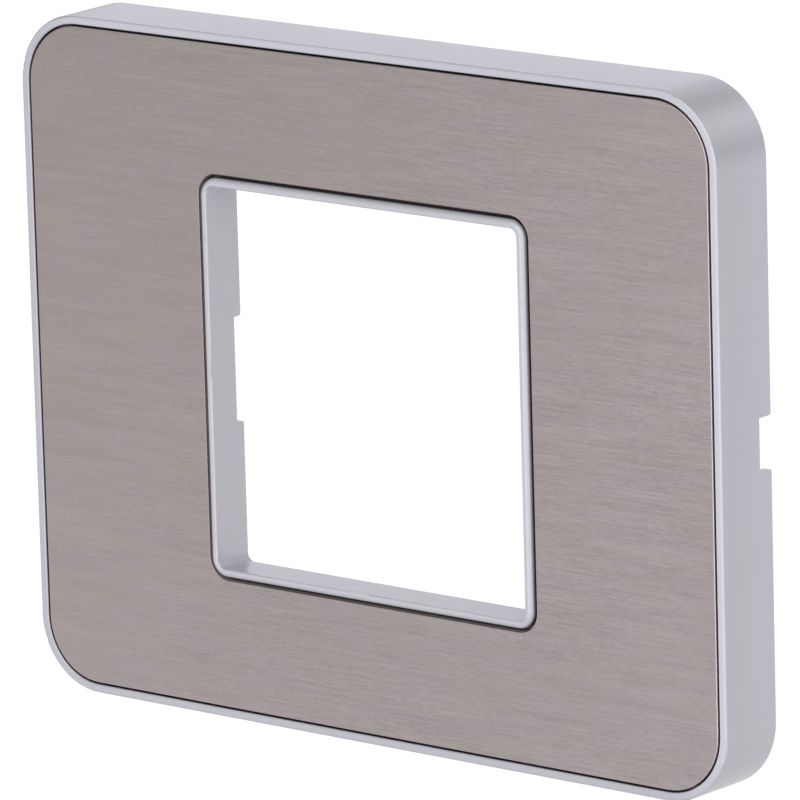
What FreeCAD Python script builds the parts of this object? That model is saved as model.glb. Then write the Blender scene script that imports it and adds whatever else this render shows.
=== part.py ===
"""A one-gang cover frame for a square wiring device: a silver moulded surround with a brushed metal plate.

Millimetres. The frame hangs upright as on the wall: +Z up, +X right, and the front faces -Y. The origin is
the centre of the device opening in the plane of the wall.
"""

import FreeCAD, Part
import math
import os

from FreeCAD import Vector

# overall size of the moulding
FRAME_WIDTH = 101.6
FRAME_HEIGHT = 81.6
FRAME_DEPTH = 9.1
CORNER_RADIUS = 8.6
WALL_DRAFT = 0.1
RIM_EDGE_RADIUS = 0.25
RIM_LIP_RADIUS = 0.2

# walls of the moulding
RIM_WIDTH = 1.0
WALL_AT_TRAY = 1.7
WALL_AT_REAR = 0.8
TRAY_FLOOR = 1.5

# face plate and the film that bonds it
PLATE_THICKNESS = 1.0
PLATE_RECESS = 0.05
PLATE_GAP = 0.27
PLATE_CORNER_RADIUS = 7.2
PLATE_EDGE_RADIUS = 0.12
FILM_THICKNESS = 0.2
FILM_INSET = 0.9

# opening for the device, with its collar
DEVICE_OPENING = 45.4
OPENING_CORNER_RADIUS = 1.0
OPENING_DRAFT = 0.45
COLLAR_WALL = 1.0
COLLAR_WALL_AT_REAR = 1.1
COLLAR_STANDS_PROUD = 0.4
COLLAR_CORNER_RADIUS = 2.2
COLLAR_NOSE_RADIUS = 0.6
COLLAR_LIP_RADIUS = 0.2
COLLAR_BEHIND_PLATE = 5.65
COLLAR_GAP = 0.42

# relief notches in the collar and pry notches in the outer wall
RELIEF_HEIGHT = 12.6
RELIEF_DEPTH = 1.3
PRY_HEIGHT = 6.2
PRY_DEPTH = 2.1
NOTCH_ROUNDING = 0.3

# stiffening ribs behind the tray
RIB_THICKNESS = 0.9
RIB_SET_BACK = 0.5
TIE_RIB_OFFSET = 13.0

# clip tongues that grip the edges of the mounting support
SUPPORT_HEIGHT = 70.0
CLIP_CLEARANCE = 0.3
CLIP_SPACING = 44.0
CLIP_WIDTH = 7.0
CLIP_THICKNESS = 1.2
CLIP_BARB = 0.7
CLIP_BARB_LENGTH = 2.2
CLIP_BARB_LEAD = 1.4
CLIP_STOPS_SHORT = 0.5

# how far a cutter runs past the face that it opens
OVERRUN = 2.0

# lengths that differ by less than this count as equal
EQUAL = 1e-4

RIM_FRONT = -FRAME_DEPTH
PLATE_FRONT = RIM_FRONT + PLATE_RECESS
PLATE_BACK = PLATE_FRONT + PLATE_THICKNESS
TRAY_FRONT = PLATE_BACK + FILM_THICKNESS
TRAY_BACK = TRAY_FRONT + TRAY_FLOOR
NOSE_FRONT = PLATE_FRONT - COLLAR_STANDS_PROUD
COLLAR_REAR = PLATE_FRONT + COLLAR_BEHIND_PLATE
RIB_REAR = COLLAR_REAR - RIB_SET_BACK
REAR = 0.0

FRONT_WIDTH = FRAME_WIDTH - 2 * WALL_DRAFT
FRONT_HEIGHT = FRAME_HEIGHT - 2 * WALL_DRAFT
TRAY_WIDTH = FRONT_WIDTH - 2 * RIM_WIDTH
TRAY_HEIGHT = FRONT_HEIGHT - 2 * RIM_WIDTH
FRONT_RADIUS = CORNER_RADIUS - WALL_DRAFT
TRAY_RADIUS = FRONT_RADIUS - RIM_WIDTH
COLLAR_SIDE = DEVICE_OPENING + 2 * COLLAR_WALL
REAR_OPENING = DEVICE_OPENING + 2 * OPENING_DRAFT
SLEEVE_SIDE = REAR_OPENING + 2 * COLLAR_WALL_AT_REAR
SLEEVE_RADIUS = OPENING_CORNER_RADIUS + COLLAR_WALL_AT_REAR


def outline(width, height, radius, y):
    """Closed rounded rectangle about the Y axis, in the plane at depth y."""
    half_width = width / 2 - radius
    half_height = height / 2 - radius
    centres = [
        (half_width, half_height),
        (-half_width, half_height),
        (-half_width, -half_height),
        (half_width, -half_height),
    ]
    arcs = []
    for quarter, (x, z) in enumerate(centres):
        angles = [math.radians(90 * quarter + turn) for turn in (0, 45, 90)]
        arcs.append([Vector(x + radius * math.cos(a), y, z + radius * math.sin(a)) for a in angles])
    edges = []
    for arc, following in zip(arcs, arcs[1:] + arcs[:1]):
        edges.append(Part.Arc(*arc).toShape())
        edges.append(Part.makeLine(arc[-1], following[0]))
    return Part.Wire(edges)


def slab(width, height, radius, front, rear):
    """Rounded block with straight sides between two depths."""
    face = Part.Face(outline(width, height, radius, front))
    return face.extrude(Vector(0, rear - front, 0))


def drafted(front_size, rear_size, front, rear):
    """Rounded block whose sides slope evenly; each size is a width, a height and a corner radius."""
    return Part.makeLoft([outline(*front_size, front), outline(*rear_size, rear)], True, True)


def edges_at(shape, y, inside=None):
    """Edges that lie in the plane at depth y, all of them or only those within a given half-width."""
    found = []
    for edge in shape.Edges:
        box = edge.BoundBox
        level = abs(box.YMin - y) < EQUAL and abs(box.YMax - y) < EQUAL
        reach = max(abs(box.XMin), abs(box.XMax), abs(box.ZMin), abs(box.ZMax))
        if level and (inside is None or reach < inside):
            found.append(edge)
    return found


def block(centre, width, height, front, rear):
    """Plain box centred on (x, z) between two depths."""
    corner = Vector(centre[0] - width / 2, front, centre[1] - height / 2)
    return Part.makeBox(width, rear - front, height, corner)


def shell():
    """Outer wall and rim, with the tray for the plate in front and the hollow behind it."""
    front_size = (FRONT_WIDTH, FRONT_HEIGHT, FRONT_RADIUS)
    rear_size = (FRAME_WIDTH, FRAME_HEIGHT, CORNER_RADIUS)
    body = drafted(front_size, rear_size, RIM_FRONT, REAR)
    body = body.makeFillet(RIM_EDGE_RADIUS, edges_at(body, RIM_FRONT))
    body = body.cut(slab(TRAY_WIDTH, TRAY_HEIGHT, TRAY_RADIUS, RIM_FRONT - OVERRUN, TRAY_FRONT))
    body = body.makeFillet(RIM_LIP_RADIUS, edges_at(body, RIM_FRONT, TRAY_WIDTH / 2 + RIM_LIP_RADIUS))
    return body.cut(hollow())


def hollow():
    """The space behind the tray, bounded by the outer wall as it thins towards its rear edge."""
    def inner(wall):
        return (FRAME_WIDTH - 2 * wall, FRAME_HEIGHT - 2 * wall, CORNER_RADIUS - wall)

    return drafted(inner(WALL_AT_TRAY), inner(WALL_AT_REAR), TRAY_BACK, REAR)


def opening():
    """The way through for the device, a little wider at the back."""
    front_size = (DEVICE_OPENING, DEVICE_OPENING, OPENING_CORNER_RADIUS)
    rear_size = (REAR_OPENING, REAR_OPENING, OPENING_CORNER_RADIUS)
    return drafted(front_size, rear_size, NOSE_FRONT, COLLAR_REAR)


def collar():
    """Square sleeve round the opening, with a rounded nose in front and a relief notch in each side wall."""
    nose = slab(COLLAR_SIDE, COLLAR_SIDE, COLLAR_CORNER_RADIUS, NOSE_FRONT, TRAY_BACK)
    nose = nose.makeFillet(COLLAR_NOSE_RADIUS, edges_at(nose, NOSE_FRONT))
    nose = nose.cut(opening())
    nose = nose.makeFillet(COLLAR_LIP_RADIUS, edges_at(nose, NOSE_FRONT, DEVICE_OPENING / 2 + EQUAL))
    sleeve = slab(SLEEVE_SIDE, SLEEVE_SIDE, SLEEVE_RADIUS, TRAY_FRONT, COLLAR_REAR).cut(opening())
    reliefs = notches(RELIEF_HEIGHT, RELIEF_DEPTH, COLLAR_REAR, SLEEVE_SIDE / 2, COLLAR_WALL_AT_REAR)
    return nose.fuse(sleeve).cut(reliefs)


def notches(height, depth, rear, outside, wall):
    """Cutters for a notch in the rear edge of the left and the right wall, with a rounded mouth."""
    half = height / 2
    points = [
        (-half - NOTCH_ROUNDING, rear + OVERRUN),
        (-half - NOTCH_ROUNDING, rear),
        (-half, rear - NOTCH_ROUNDING),
        (-half, rear - depth),
        (half, rear - depth),
        (half, rear - NOTCH_ROUNDING),
        (half + NOTCH_ROUNDING, rear),
        (half + NOTCH_ROUNDING, rear + OVERRUN),
    ]
    start_x = outside - wall - OVERRUN
    corners = [Vector(start_x, y, z) for z, y in points]
    bow = NOTCH_ROUNDING * (1 - math.sqrt(0.5))
    edges = []
    for first, second in zip(corners, corners[1:] + corners[:1]):
        if abs(first.y - second.y) > EQUAL and abs(first.z - second.z) > EQUAL:
            side = 1 if first.z > 0 else -1
            middle = Vector(start_x, rear - bow, side * (half + bow))
            edges.append(Part.Arc(first, middle, second).toShape())
        else:
            edges.append(Part.makeLine(first, second))
    right = Part.Face(Part.Wire(edges)).extrude(Vector(wall + 2 * OVERRUN, 0, 0))
    left = right.mirror(Vector(0, 0, 0), Vector(1, 0, 0))
    return Part.makeCompound([right, left])


def ribs():
    """Lattice behind the tray: long ribs midway between collar and wall, and ties that run outwards."""
    sleeve = SLEEVE_SIDE / 2
    mid_wing = (sleeve + FRAME_WIDTH / 2 - WALL_AT_TRAY) / 2
    mid_band = (sleeve + FRAME_HEIGHT / 2 - WALL_AT_TRAY) / 2
    strips = []
    for side in (-1, 1):
        strips.append(block((side * mid_wing, 0), RIB_THICKNESS, FRAME_HEIGHT, TRAY_BACK, RIB_REAR))
        strips.append(block((0, side * mid_band), FRAME_WIDTH, RIB_THICKNESS, TRAY_BACK, RIB_REAR))
        strips.append(block((side * TIE_RIB_OFFSET, 0), RIB_THICKNESS, FRAME_HEIGHT, TRAY_BACK, RIB_REAR))
        strips.append(block((0, side * TIE_RIB_OFFSET), FRAME_WIDTH, RIB_THICKNESS, TRAY_BACK, RIB_REAR))
    lattice = strips[0].fuse(strips[1:])
    around_sleeve = hollow().cut(slab(SLEEVE_SIDE, SLEEVE_SIDE, SLEEVE_RADIUS, TRAY_BACK, REAR))
    return lattice.common(around_sleeve)


def clip_tongue(x, side):
    """Springy tongue whose barb faces the support; side is +1 at the top and -1 at the bottom."""
    root = SUPPORT_HEIGHT / 2 + CLIP_CLEARANCE
    tip = REAR - CLIP_STOPS_SHORT
    profile = [
        (root, TRAY_BACK),
        (root + CLIP_THICKNESS, TRAY_BACK),
        (root + CLIP_THICKNESS, tip),
        (root, tip),
        (root - CLIP_BARB, tip - CLIP_BARB_LEAD),
        (root, tip - CLIP_BARB_LENGTH),
    ]
    corners = [Vector(x - CLIP_WIDTH / 2, y, side * z) for z, y in profile]
    face = Part.Face(Part.makePolygon(corners + corners[:1]))
    return face.extrude(Vector(CLIP_WIDTH, 0, 0))


def base_frame():
    """The whole moulding in one piece."""
    frame = shell().cut(slab(REAR_OPENING, REAR_OPENING, OPENING_CORNER_RADIUS, RIM_FRONT - OVERRUN, REAR))
    tongues = [clip_tongue(side_x * CLIP_SPACING / 2, side_z) for side_x in (-1, 1) for side_z in (-1, 1)]
    frame = frame.fuse([collar(), ribs()] + tongues)
    pry = notches(PRY_HEIGHT, PRY_DEPTH, REAR, FRAME_WIDTH / 2, WALL_AT_REAR)
    return frame.cut(pry).removeSplitter()


def plate_outlines(inset):
    """Sizes of a sheet in the tray: its outside and the hole for the collar, both held back by inset."""
    outside = (
        TRAY_WIDTH - 2 * (PLATE_GAP + inset),
        TRAY_HEIGHT - 2 * (PLATE_GAP + inset),
        PLATE_CORNER_RADIUS - inset,
    )
    hole_side = COLLAR_SIDE + 2 * (COLLAR_GAP + inset)
    return outside, (hole_side, hole_side, COLLAR_CORNER_RADIUS + COLLAR_GAP + inset)


def face_plate():
    """Flat brushed plate with its front edges eased."""
    outside, hole = plate_outlines(0)
    plate = slab(*outside, PLATE_FRONT, PLATE_BACK).cut(slab(*hole, PLATE_FRONT, PLATE_BACK))
    return plate.makeFillet(PLATE_EDGE_RADIUS, edges_at(plate, PLATE_FRONT))


def bonding_film():
    """Thin double-sided film between the plate and the tray."""
    outside, hole = plate_outlines(FILM_INSET)
    return slab(*outside, PLATE_BACK, TRAY_FRONT).cut(slab(*hole, PLATE_BACK, TRAY_FRONT))


def main():
    """Write each piece to its own file."""
    os.makedirs("parts", exist_ok=True)
    pieces = {"base_frame": base_frame(), "face_plate": face_plate(), "bonding_film": bonding_film()}
    for name, shape in pieces.items():
        solids = shape.Solids
        solid = solids[0] if len(solids) == 1 else Part.makeCompound(solids)
        print(name, len(solids), "solid", solid.isValid(), round(solid.Volume, 1), solid.BoundBox)
        solid.exportStep(f"parts/{name}.step")


main()
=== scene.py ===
"""Looks of a one-gang cover frame: a silver moulded surround that holds a brushed metal plate."""

import math

import bpy
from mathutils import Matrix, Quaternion, Vector

MM = 0.001

# camera: angles in degrees, lengths in millimetres, clipping in metres
AZIMUTH = 39.271
ELEVATION = 13.137
ROLL = -1.584
AIM = (3.016, -6.563, 0.07)
DISTANCE = 965.72
LENS = 380.69
CLIP_START = 0.1
CLIP_END = 20.0

# depths and half sizes that the masks need, in metres; tray and collar are taken a little past their walls
RIM_FRONT = -9.10 * MM
PLATE_FRONT = -9.05 * MM
TRAY_BACK = -6.35 * MM
TRAY_HALF = (50.2 * MM, 40.2 * MM)
TRAY_RADIUS = 8.1 * MM
COLLAR_HALF = (23.4 * MM, 23.4 * MM)
COLLAR_RADIUS = 1.9 * MM
PLATE_HALF = (49.43 * MM, 39.43 * MM)
PLATE_RADIUS = 7.2 * MM

FLOOR_LEVEL = -0.45
FLOOR_SIZE = 16.0
FLOOR_GLOW = 0.637
FLOOR_GREY = (0.5, 0.5, 0.5, 1)

# surroundings: a level all round, and soft areas of light: direction, full and faded angle in degrees, level, tint
PLAIN = (1.0, 1.0, 1.0)
WARM = (1.02, 0.99, 0.93)
COOL = (0.99, 0.985, 1.06)
AMBIENT = 0.328
WORLD_AREAS = [
    ((0.0, -0.985, 0.174), 8, 32, 0.69, PLAIN),
    ((0.579, -0.797, 0.174), 8, 32, 0.91, PLAIN),
    ((0.937, -0.304, 0.174), 8, 32, 0.655, PLAIN),
    ((0.937, 0.304, 0.174), 8, 32, 0.104, PLAIN),
    ((0.579, 0.797, 0.174), 8, 32, 0.073, PLAIN),
    ((-0.579, 0.797, 0.174), 8, 32, 0.174, COOL),
    ((-0.937, -0.304, 0.174), 8, 32, 0.116, PLAIN),
    ((-0.579, -0.797, 0.174), 8, 32, 0.586, PLAIN),
    ((0.0, -0.788, 0.616), 8, 30, 0.83, PLAIN),
    ((0.557, -0.557, 0.616), 8, 30, 1.384, PLAIN),
    ((0.788, 0.0, 0.616), 8, 30, 0.357, PLAIN),
    ((0.557, 0.557, 0.616), 8, 30, 0.427, WARM),
    ((-0.557, 0.557, 0.616), 8, 30, 0.493, COOL),
    ((-0.557, -0.557, 0.616), 8, 30, 0.144, PLAIN),
    ((0.152, -0.377, 0.914), 8, 28, 0.403, PLAIN),
    ((0.472, 0.756, 0.454), 3, 15, 0.258, WARM),
    ((0.307, 0.760, 0.574), 3, 15, 0.32, WARM),
    ((0.616, 0.760, 0.208), 3, 15, 0.187, WARM),
    ((-0.140, 0.797, 0.588), 3, 15, 0.102, PLAIN),
    ((-0.420, 0.757, 0.500), 3, 15, 0.039, COOL),
    ((-0.611, 0.754, 0.242), 3, 15, 0.397, COOL),
]

# lamps: distance and size in metres, then name, direction and level
LAMP_DISTANCE = 1.2
LAMP_SIZE = 0.35
LAMPS = [
    ("low left", (-0.707, -0.707, -0.20), 0.014),
    ("low front", (0.020, -0.980, -0.20), 0.078),
    ("low front right", (0.574, -0.819, -0.20), 0.036),
    ("low right", (0.940, -0.342, -0.20), 0.043),
]

# colours of the moulding; a pair runs from the first to the second
UNTOUCHED = (1, 1, 1, 1)
PAINT = ((0.505, 0.500, 0.548, 1), (0.540, 0.535, 0.586, 1))
PAINT_DRIFT = ((0.992, 1.0, 0.994, 1), (1.008, 0.998, 1.022, 1))
# painted light: the paint turns lighter and bluer towards the rear
PAINTED_LIGHT_TO_REAR = ((0.995, 0.995, 0.990, 1), (1.040, 1.035, 1.050, 1))
# painted shade on the left and low fronts of the rim, painted light on the right front, painted highlight on its
# inner lip
SHADED_FRONT = (0.875, 0.880, 0.890, 1)
PAINTED_LIGHT_FRONT = (1.110, 1.105, 1.145, 1)
PAINTED_HIGHLIGHT_LIP = (1.200, 1.200, 1.210, 1)
# painted shade in the gaps round the plate
GAP_SHADE = (0.092, 0.066, 0.074, 1)

# brushing: length and width of the streaks in millimetres, and their share
STREAKS = ((1.0, 0.25, 0.36), (4.0, 0.26, 0.34), (16.0, 0.33, 0.30))
SCRATCH_LENGTH = 9.0
SCRATCH_WIDTH = 0.16

# colours of the plate
METAL = ((0.271, 0.2375, 0.240, 1), (0.353, 0.308, 0.311, 1))
SCRATCH = (0.44, 0.39, 0.385, 1)
METAL_DRIFT = ((0.973, 1.0, 0.935, 1), (1.005, 0.981, 1.010, 1))
PLATE_SHADE = ((0.914, 0.914, 0.905, 1), (1.080, 1.080, 1.105, 1))
CUT_EDGE = (0.42, 0.36, 0.35, 1)
# the eased outer edge is polished and carries a painted highlight; the cut edge below it, deep in the gap, has
# painted shade
EASED_EDGE_HIGHLIGHT = (0.66, 0.60, 0.605, 1)
EDGE_SHADE = (0.07, 0.055, 0.058, 1)

# slow painted shade and light over the plate, standing in for the light it reflects: slope of its line, then how
# far from the centre each part reaches
SHADE_LINE = (1.0, 0.0, -0.83)
LEAN_REACH = 80 * MM
BOWL_REACH = 45 * MM
TWIST_REACH = 40 * MM


class Nodes:
    """A node tree under construction."""

    def __init__(self, tree):
        self.tree = tree
        tree.nodes.clear()

    def add(self, kind, inputs=None, **settings):
        """New node; inputs maps a socket's name or number to a value or to another node's output."""
        node = self.tree.nodes.new(kind)
        for name, value in settings.items():
            setattr(node, name, value)
        for key, value in (inputs or {}).items():
            if isinstance(value, bpy.types.NodeSocket):
                self.tree.links.new(value, node.inputs[key])
            else:
                node.inputs[key].default_value = value
        return node

    def math(self, operation, *values, clamp=False):
        """Output of a math node."""
        node = self.add("ShaderNodeMath", dict(enumerate(values)), operation=operation, use_clamp=clamp)
        return node.outputs[0]

    def vector_math(self, operation, *values):
        """Output of a vector math node."""
        return self.add("ShaderNodeVectorMath", dict(enumerate(values)), operation=operation).outputs[0]

    def mix(self, factor, first, second):
        """Colour between first and second."""
        return self.add("ShaderNodeMix", {0: factor, 6: first, 7: second}, data_type="RGBA").outputs[2]

    def tinted(self, colour, factor, first, second):
        """Colour times a tint that runs from first to second."""
        return self.vector_math("MULTIPLY", colour, self.mix(factor, first, second))

    def dot(self, first, second):
        """Dot product of two vectors."""
        node = self.add("ShaderNodeVectorMath", {0: first, 1: second}, operation="DOT_PRODUCT")
        return node.outputs["Value"]

    def parts(self, vector):
        """Outputs X, Y and Z of a vector."""
        return self.add("ShaderNodeSeparateXYZ", {0: vector}).outputs

    def span(self, value, low, high, to_low=0.0, to_high=1.0, smooth=False):
        """Value carried from one range to another and held at its ends."""
        node = self.add(
            "ShaderNodeMapRange",
            {0: value, 1: low, 2: high, 3: to_low, 4: to_high},
            interpolation_type="SMOOTHSTEP" if smooth else "LINEAR",
        )
        return node.outputs[0]

    def noise(self, vector, scale, detail=2.0, roughness=0.5):
        """Value of a noise texture about 0.5."""
        inputs = {"Vector": vector, "Scale": scale, "Detail": detail, "Roughness": roughness}
        return self.add("ShaderNodeTexNoise", inputs, normalize=True).outputs[0]


def new_material(name):
    """Empty material that uses nodes."""
    material = bpy.data.materials.new(name)
    material.use_nodes = True
    return material, Nodes(material.node_tree)


def object_place(nodes, scale=(1, 1, 1)):
    """Object coordinates, stretched by scale."""
    place = nodes.add("ShaderNodeTexCoord").outputs["Object"]
    return nodes.add("ShaderNodeMapping", {"Vector": place, "Scale": scale}).outputs[0]


def rounded_distance_group():
    """Group: how far a point lies outside a rounded rectangle that is centred on the origin in x and z."""
    tree = bpy.data.node_groups.new("rounded distance", "ShaderNodeTree")
    tree.interface.new_socket("Place", in_out="INPUT", socket_type="NodeSocketVector")
    for name in ("Half Width", "Half Height", "Radius"):
        tree.interface.new_socket(name, in_out="INPUT", socket_type="NodeSocketFloat")
    tree.interface.new_socket("Distance", in_out="OUTPUT", socket_type="NodeSocketFloat")
    nodes = Nodes(tree)
    given = nodes.add("NodeGroupInput").outputs
    parts = nodes.parts(given["Place"])
    squares = []
    for part, half in ((parts["X"], given["Half Width"]), (parts["Z"], given["Half Height"])):
        inner = nodes.math("SUBTRACT", half, given["Radius"])
        beyond = nodes.math("SUBTRACT", nodes.math("ABSOLUTE", part), inner)
        squares.append(nodes.math("POWER", nodes.math("MAXIMUM", beyond, 0.0), 2.0))
    reach = nodes.math("SQRT", nodes.math("ADD", *squares))
    nodes.add("NodeGroupOutput", {"Distance": nodes.math("SUBTRACT", reach, given["Radius"])})
    return tree


def outside_of(nodes, group, place, half, radius):
    """Distance beyond a rounded rectangle."""
    inputs = {"Place": place, "Half Width": half[0], "Half Height": half[1], "Radius": radius}
    return nodes.add("ShaderNodeGroup", inputs, node_tree=group).outputs[0]


def silver_moulding(group):
    """Satin silver paint with a fine flake.

    Painted shade on the left and low rim fronts and in the gaps, painted light on the right front and its lip.
    """
    material, nodes = new_material("silver moulding")
    place = object_place(nodes)
    parts = nodes.parts(place)
    depth = parts["Y"]

    flake = nodes.noise(place, 5200.0, 1.0)
    cloud = nodes.noise(place, 90.0, 3.0)
    tone = nodes.math("ADD", nodes.math("MULTIPLY", flake, 0.5), nodes.math("MULTIPLY", cloud, 0.5))
    paint = nodes.mix(nodes.span(tone, 0.3, 0.7), *PAINT)
    drift = nodes.span(nodes.noise(place, 55.0, 1.0), 0.35, 0.65)
    paint = nodes.tinted(paint, drift, *PAINT_DRIFT)
    # painted light: lighter and bluer towards the rear
    lit_rearward = nodes.span(depth, -6.5 * MM, -1.0 * MM)
    paint = nodes.tinted(paint, lit_rearward, *PAINTED_LIGHT_TO_REAR)

    beyond_tray = outside_of(nodes, group, place, TRAY_HALF, TRAY_RADIUS)
    # painted shade on the left and low rim fronts, painted light on the right front and a painted highlight on its
    # lip
    front = nodes.span(depth, RIM_FRONT + 0.10 * MM, RIM_FRONT + 0.02 * MM)
    lip = nodes.span(beyond_tray, -0.28 * MM, -0.38 * MM)
    left = nodes.span(parts["X"], -42 * MM, -50 * MM)
    right = nodes.span(parts["X"], 42 * MM, 49 * MM)
    low = nodes.span(parts["Z"], -32 * MM, -40 * MM, to_high=0.8)
    front_shade = nodes.math("MULTIPLY", front, nodes.math("MAXIMUM", left, low))
    paint = nodes.tinted(paint, front_shade, UNTOUCHED, SHADED_FRONT)
    paint = nodes.tinted(paint, nodes.math("MULTIPLY", right, front), UNTOUCHED, PAINTED_LIGHT_FRONT)
    paint = nodes.tinted(paint, nodes.math("MULTIPLY", right, lip), UNTOUCHED, PAINTED_HIGHLIGHT_LIP)

    # painted shade on the tray and on the rim and collar walls in the gaps round the plate
    in_tray = nodes.math("LESS_THAN", beyond_tray, 0.0)
    near_rim = nodes.math("GREATER_THAN", beyond_tray, -2 * MM)
    off_collar = nodes.math("GREATER_THAN", outside_of(nodes, group, place, COLLAR_HALF, COLLAR_RADIUS), 0.0)
    beside_collar = nodes.span(depth, PLATE_FRONT + 0.18 * MM, PLATE_FRONT + 0.40 * MM)
    beside_rim = nodes.span(depth, PLATE_FRONT + 0.06 * MM, PLATE_FRONT + 0.24 * MM)
    below_plate = nodes.math("MAXIMUM", beside_collar, nodes.math("MULTIPLY", near_rim, beside_rim))
    above_tray = nodes.math("LESS_THAN", depth, TRAY_BACK - 0.5 * MM)
    around_plate = nodes.math("MULTIPLY", in_tray, off_collar)
    gap_shade = nodes.math("MULTIPLY", around_plate, nodes.math("MULTIPLY", below_plate, above_tray))
    colour = nodes.mix(gap_shade, paint, GAP_SHADE)

    rough = nodes.span(cloud, 0.3, 0.7, 0.29, 0.35)
    peel = nodes.noise(place, 1500.0, 2.0)
    bump = nodes.add("ShaderNodeBump", {"Strength": 0.05, "Distance": 0.05 * MM, "Height": peel}).outputs[0]
    shader = nodes.add(
        "ShaderNodeBsdfPrincipled",
        {
            "Base Color": colour,
            "Roughness": rough,
            "Metallic": 0.35,
            "Specular IOR Level": 0.4,
            "Coat Weight": 0.1,
            "Coat Roughness": 0.12,
            "Normal": bump,
        },
    )
    nodes.add("ShaderNodeOutputMaterial", {"Surface": shader.outputs[0]})
    return material


def brushed_plate(group):
    """Warm grey metal, brushed along the long side, with a polished eased edge that carries a painted highlight,
    and a rougher, less metallic cut edge.

    A slow painted shade makes it lighter from the upper left to the lower right.
    """
    material, nodes = new_material("brushed plate")
    place = object_place(nodes)
    parts = nodes.parts(place)
    across, depth, rise = parts["X"], parts["Y"], parts["Z"]

    streak = 0.0
    for length, width, share in STREAKS:
        grain = object_place(nodes, (1 / (length * MM), 0.0, 1 / (width * MM)))
        streak = nodes.math("ADD", streak, nodes.math("MULTIPLY", nodes.noise(grain, 1.0, 2.0, 0.6), share))
    patch = nodes.noise(object_place(nodes, (30.0, 0.0, 45.0)), 1.0, 2.0)
    contrast = nodes.span(across, -45 * MM, 5 * MM, 0.7, 1.3)
    strength = nodes.math("MULTIPLY", nodes.span(patch, 0.35, 0.65, 0.75, 1.3), contrast)
    streak = nodes.math("ADD", nodes.math("MULTIPLY", nodes.math("SUBTRACT", streak, 0.5), strength), 0.5)
    metal = nodes.mix(nodes.span(streak, 0.35, 0.65), *METAL)

    thin_lines = object_place(nodes, (1 / (SCRATCH_LENGTH * MM), 0.0, 1 / (SCRATCH_WIDTH * MM)))
    metal = nodes.mix(nodes.span(nodes.noise(thin_lines, 1.0, 1.0), 0.68, 0.80, 0.0, 0.5), metal, SCRATCH)
    cloud = nodes.noise(object_place(nodes, (90.0, 0.0, 420.0)), 1.0, 3.0, 0.6)
    tint = nodes.mix(nodes.span(cloud, 0.3, 0.7), *METAL_DRIFT)
    mottle = nodes.noise(object_place(nodes, (55.0, 0.0, 620.0)), 1.0, 3.0, 0.6)
    tint = nodes.vector_math("MULTIPLY", tint, nodes.span(mottle, 0.3, 0.7, 0.953, 1.047))

    # painted shade and light: lighter to the lower right, towards the sides, and a little at the upper right and
    # lower left
    lean = nodes.dot(place, SHADE_LINE)
    shade = nodes.mix(nodes.span(lean, -LEAN_REACH, LEAN_REACH), *PLATE_SHADE)
    bowl = nodes.span(nodes.math("MULTIPLY", across, across), 0.0, BOWL_REACH**2, 1.0, 1.037)
    twist = nodes.span(nodes.math("MULTIPLY", across, rise), -(TWIST_REACH**2), TWIST_REACH**2, 0.976, 1.024)
    shade = nodes.vector_math("MULTIPLY", shade, nodes.math("MULTIPLY", bowl, twist))
    metal = nodes.vector_math("MULTIPLY", nodes.vector_math("MULTIPLY", metal, tint), shade)

    cut = nodes.span(depth, PLATE_FRONT + 0.13 * MM, PLATE_FRONT + 0.20 * MM)
    finish = nodes.mix(cut, metal, CUT_EDGE)
    # painted highlight on the polished eased outer edge, painted shade on the cut edge below it deep in the gap
    outer = nodes.span(outside_of(nodes, group, place, PLATE_HALF, PLATE_RADIUS), -0.09 * MM, -0.04 * MM)
    below = nodes.span(depth, PLATE_FRONT + 0.18 * MM, PLATE_FRONT + 0.23 * MM)
    finish = nodes.mix(outer, finish, nodes.mix(below, EASED_EDGE_HIGHLIGHT, EDGE_SHADE))
    rough = nodes.math("ADD", nodes.span(streak, 0.3, 0.7, 0.34, 0.46), nodes.math("MULTIPLY", cut, 0.3))
    shine = nodes.span(cut, 0.0, 1.0, 1.0, 0.35)
    bump = nodes.add("ShaderNodeBump", {"Strength": 0.15, "Distance": 0.02 * MM, "Height": streak}).outputs[0]
    shader = nodes.add(
        "ShaderNodeBsdfPrincipled",
        {"Base Color": finish, "Roughness": rough, "Metallic": shine, "Normal": bump},
    )
    nodes.add("ShaderNodeOutputMaterial", {"Surface": shader.outputs[0]})
    return material


def black_film():
    """Thin black film with a faint mottle."""
    material, nodes = new_material("black film")
    mottle = nodes.noise(object_place(nodes), 400.0, 3.0)
    colour = nodes.mix(nodes.span(mottle, 0.3, 0.7), (0.012, 0.011, 0.011, 1), (0.020, 0.018, 0.019, 1))
    rough = nodes.span(mottle, 0.3, 0.7, 0.55, 0.7)
    shader = nodes.add("ShaderNodeBsdfPrincipled", {"Base Color": colour, "Roughness": rough})
    nodes.add("ShaderNodeOutputMaterial", {"Surface": shader.outputs[0]})
    return material


def dress(node, material):
    """Gives a CAD node its finish."""
    for slot in node.material_slots:
        slot.material = material


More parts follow.
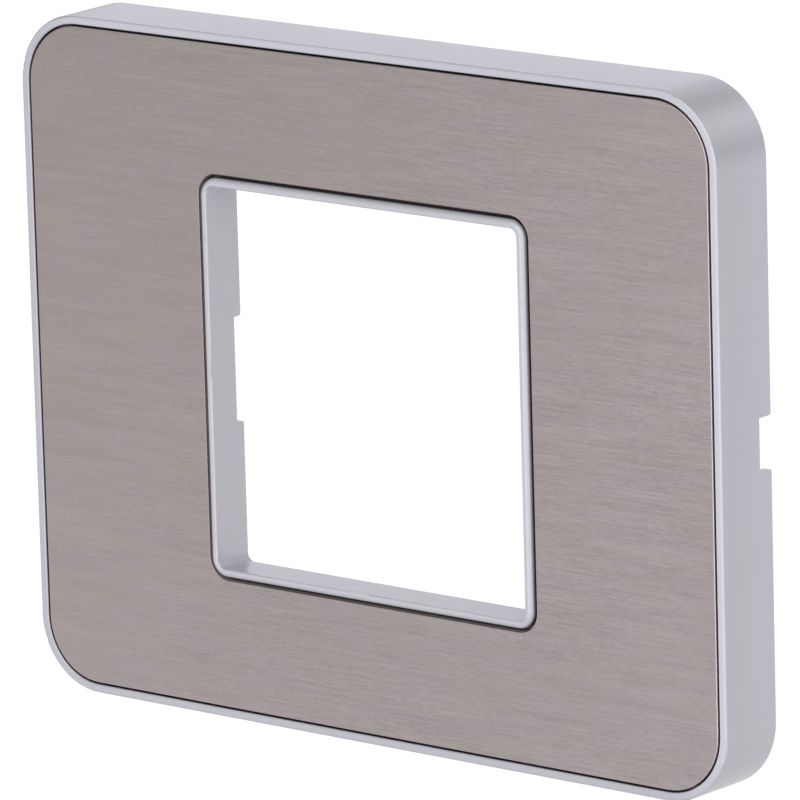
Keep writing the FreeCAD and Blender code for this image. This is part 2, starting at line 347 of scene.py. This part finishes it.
def floor():
    """Wide pale floor, white to the eye and to reflections, that keeps the soft shadow."""
    mesh = bpy.data.meshes.new("floor")
    half = FLOOR_SIZE / 2
    corners = [(-half, -half), (half, -half), (half, half), (-half, half)]
    mesh.from_pydata([(x, y, FLOOR_LEVEL) for x, y in corners], [], [(0, 1, 2, 3)])
    plane = bpy.data.objects.new("floor", mesh)
    bpy.context.scene.collection.objects.link(plane)
    material, nodes = new_material("pale floor")
    rays = nodes.add("ShaderNodeLightPath").outputs
    mirrored = nodes.math("MAXIMUM", rays["Is Glossy Ray"], rays["Is Transmission Ray"])
    seen = nodes.math("MAXIMUM", rays["Is Camera Ray"], mirrored)
    matt = nodes.add("ShaderNodeBsdfDiffuse", {"Color": FLOOR_GREY}).outputs[0]
    strength = nodes.math("MULTIPLY", seen, FLOOR_GLOW)
    glow = nodes.add("ShaderNodeEmission", {"Color": (1, 1, 1, 1), "Strength": strength}).outputs[0]
    both = nodes.add("ShaderNodeAddShader", {0: matt, 1: glow}).outputs[0]
    nodes.add("ShaderNodeOutputMaterial", {"Surface": both})
    mesh.materials.append(material)


def lamp(name, direction, level):
    """Soft square lamp; level is the share of full brightness that it gives a surface facing it."""
    light = bpy.data.lights.new(name, "AREA")
    light.shape = "SQUARE"
    light.size = LAMP_SIZE
    light.energy = level * math.pi * math.pi * LAMP_DISTANCE * LAMP_DISTANCE
    holder = bpy.data.objects.new(name, light)
    holder.location = Vector(direction).normalized() * LAMP_DISTANCE
    holder.rotation_mode = "QUATERNION"
    holder.rotation_quaternion = Vector(direction).to_track_quat("Z", "Y")
    bpy.context.scene.collection.objects.link(holder)


def studio():
    """Pale surroundings made of soft areas of light, with a few soft lamps low down."""
    world = bpy.data.worlds.new("studio")
    world.use_nodes = True
    bpy.context.scene.world = world
    nodes = Nodes(world.node_tree)
    looking = nodes.add("ShaderNodeTexCoord").outputs["Generated"]
    light = (AMBIENT, AMBIENT, AMBIENT)
    for direction, inner, outer, level, tint in WORLD_AREAS:
        towards = tuple(Vector(direction).normalized())
        edges = (math.cos(math.radians(outer)), math.cos(math.radians(inner)))
        share = nodes.span(nodes.dot(looking, towards), *edges, to_high=level, smooth=True)
        light = nodes.vector_math("MULTIPLY_ADD", tint, share, light)
    back = nodes.add("ShaderNodeBackground", {"Color": light, "Strength": 1.0})
    nodes.add("ShaderNodeOutputWorld", {"Surface": back.outputs[0]})
    for name, direction, level in LAMPS:
        lamp(name, direction, level)


def camera():
    """Camera at the photograph's angle."""
    data = bpy.data.cameras.new("camera")
    data.lens = LENS
    holder = bpy.data.objects.new("camera", data)
    azimuth = math.radians(AZIMUTH)
    elevation = math.radians(ELEVATION)
    level = math.cos(elevation)
    back = Vector((math.sin(azimuth) * level, -math.cos(azimuth) * level, math.sin(elevation)))
    holder.location = (Vector(AIM) + back * DISTANCE) * MM
    holder.rotation_mode = "QUATERNION"
    upright = (-back).to_track_quat("-Z", "Y")
    holder.rotation_quaternion = upright @ Quaternion((0, 0, 1), math.radians(ROLL))
    data.clip_start = CLIP_START
    data.clip_end = CLIP_END
    bpy.context.scene.collection.objects.link(holder)
    bpy.context.scene.camera = holder


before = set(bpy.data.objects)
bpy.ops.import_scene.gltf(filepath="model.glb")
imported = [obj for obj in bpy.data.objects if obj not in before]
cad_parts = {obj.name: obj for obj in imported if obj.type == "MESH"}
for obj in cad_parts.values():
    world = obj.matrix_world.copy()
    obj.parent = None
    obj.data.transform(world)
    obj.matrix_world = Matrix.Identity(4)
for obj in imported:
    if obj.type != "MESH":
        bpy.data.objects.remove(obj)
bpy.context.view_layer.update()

distance_group = rounded_distance_group()
finishes = {
    "base_frame": silver_moulding(distance_group),
    "face_plate": brushed_plate(distance_group),
    "bonding_film": black_film(),
}
for node_name, finish in finishes.items():
    dress(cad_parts[node_name], finish)

floor()
studio()
camera()
bpy.context.scene.view_settings.view_transform = "Standard"
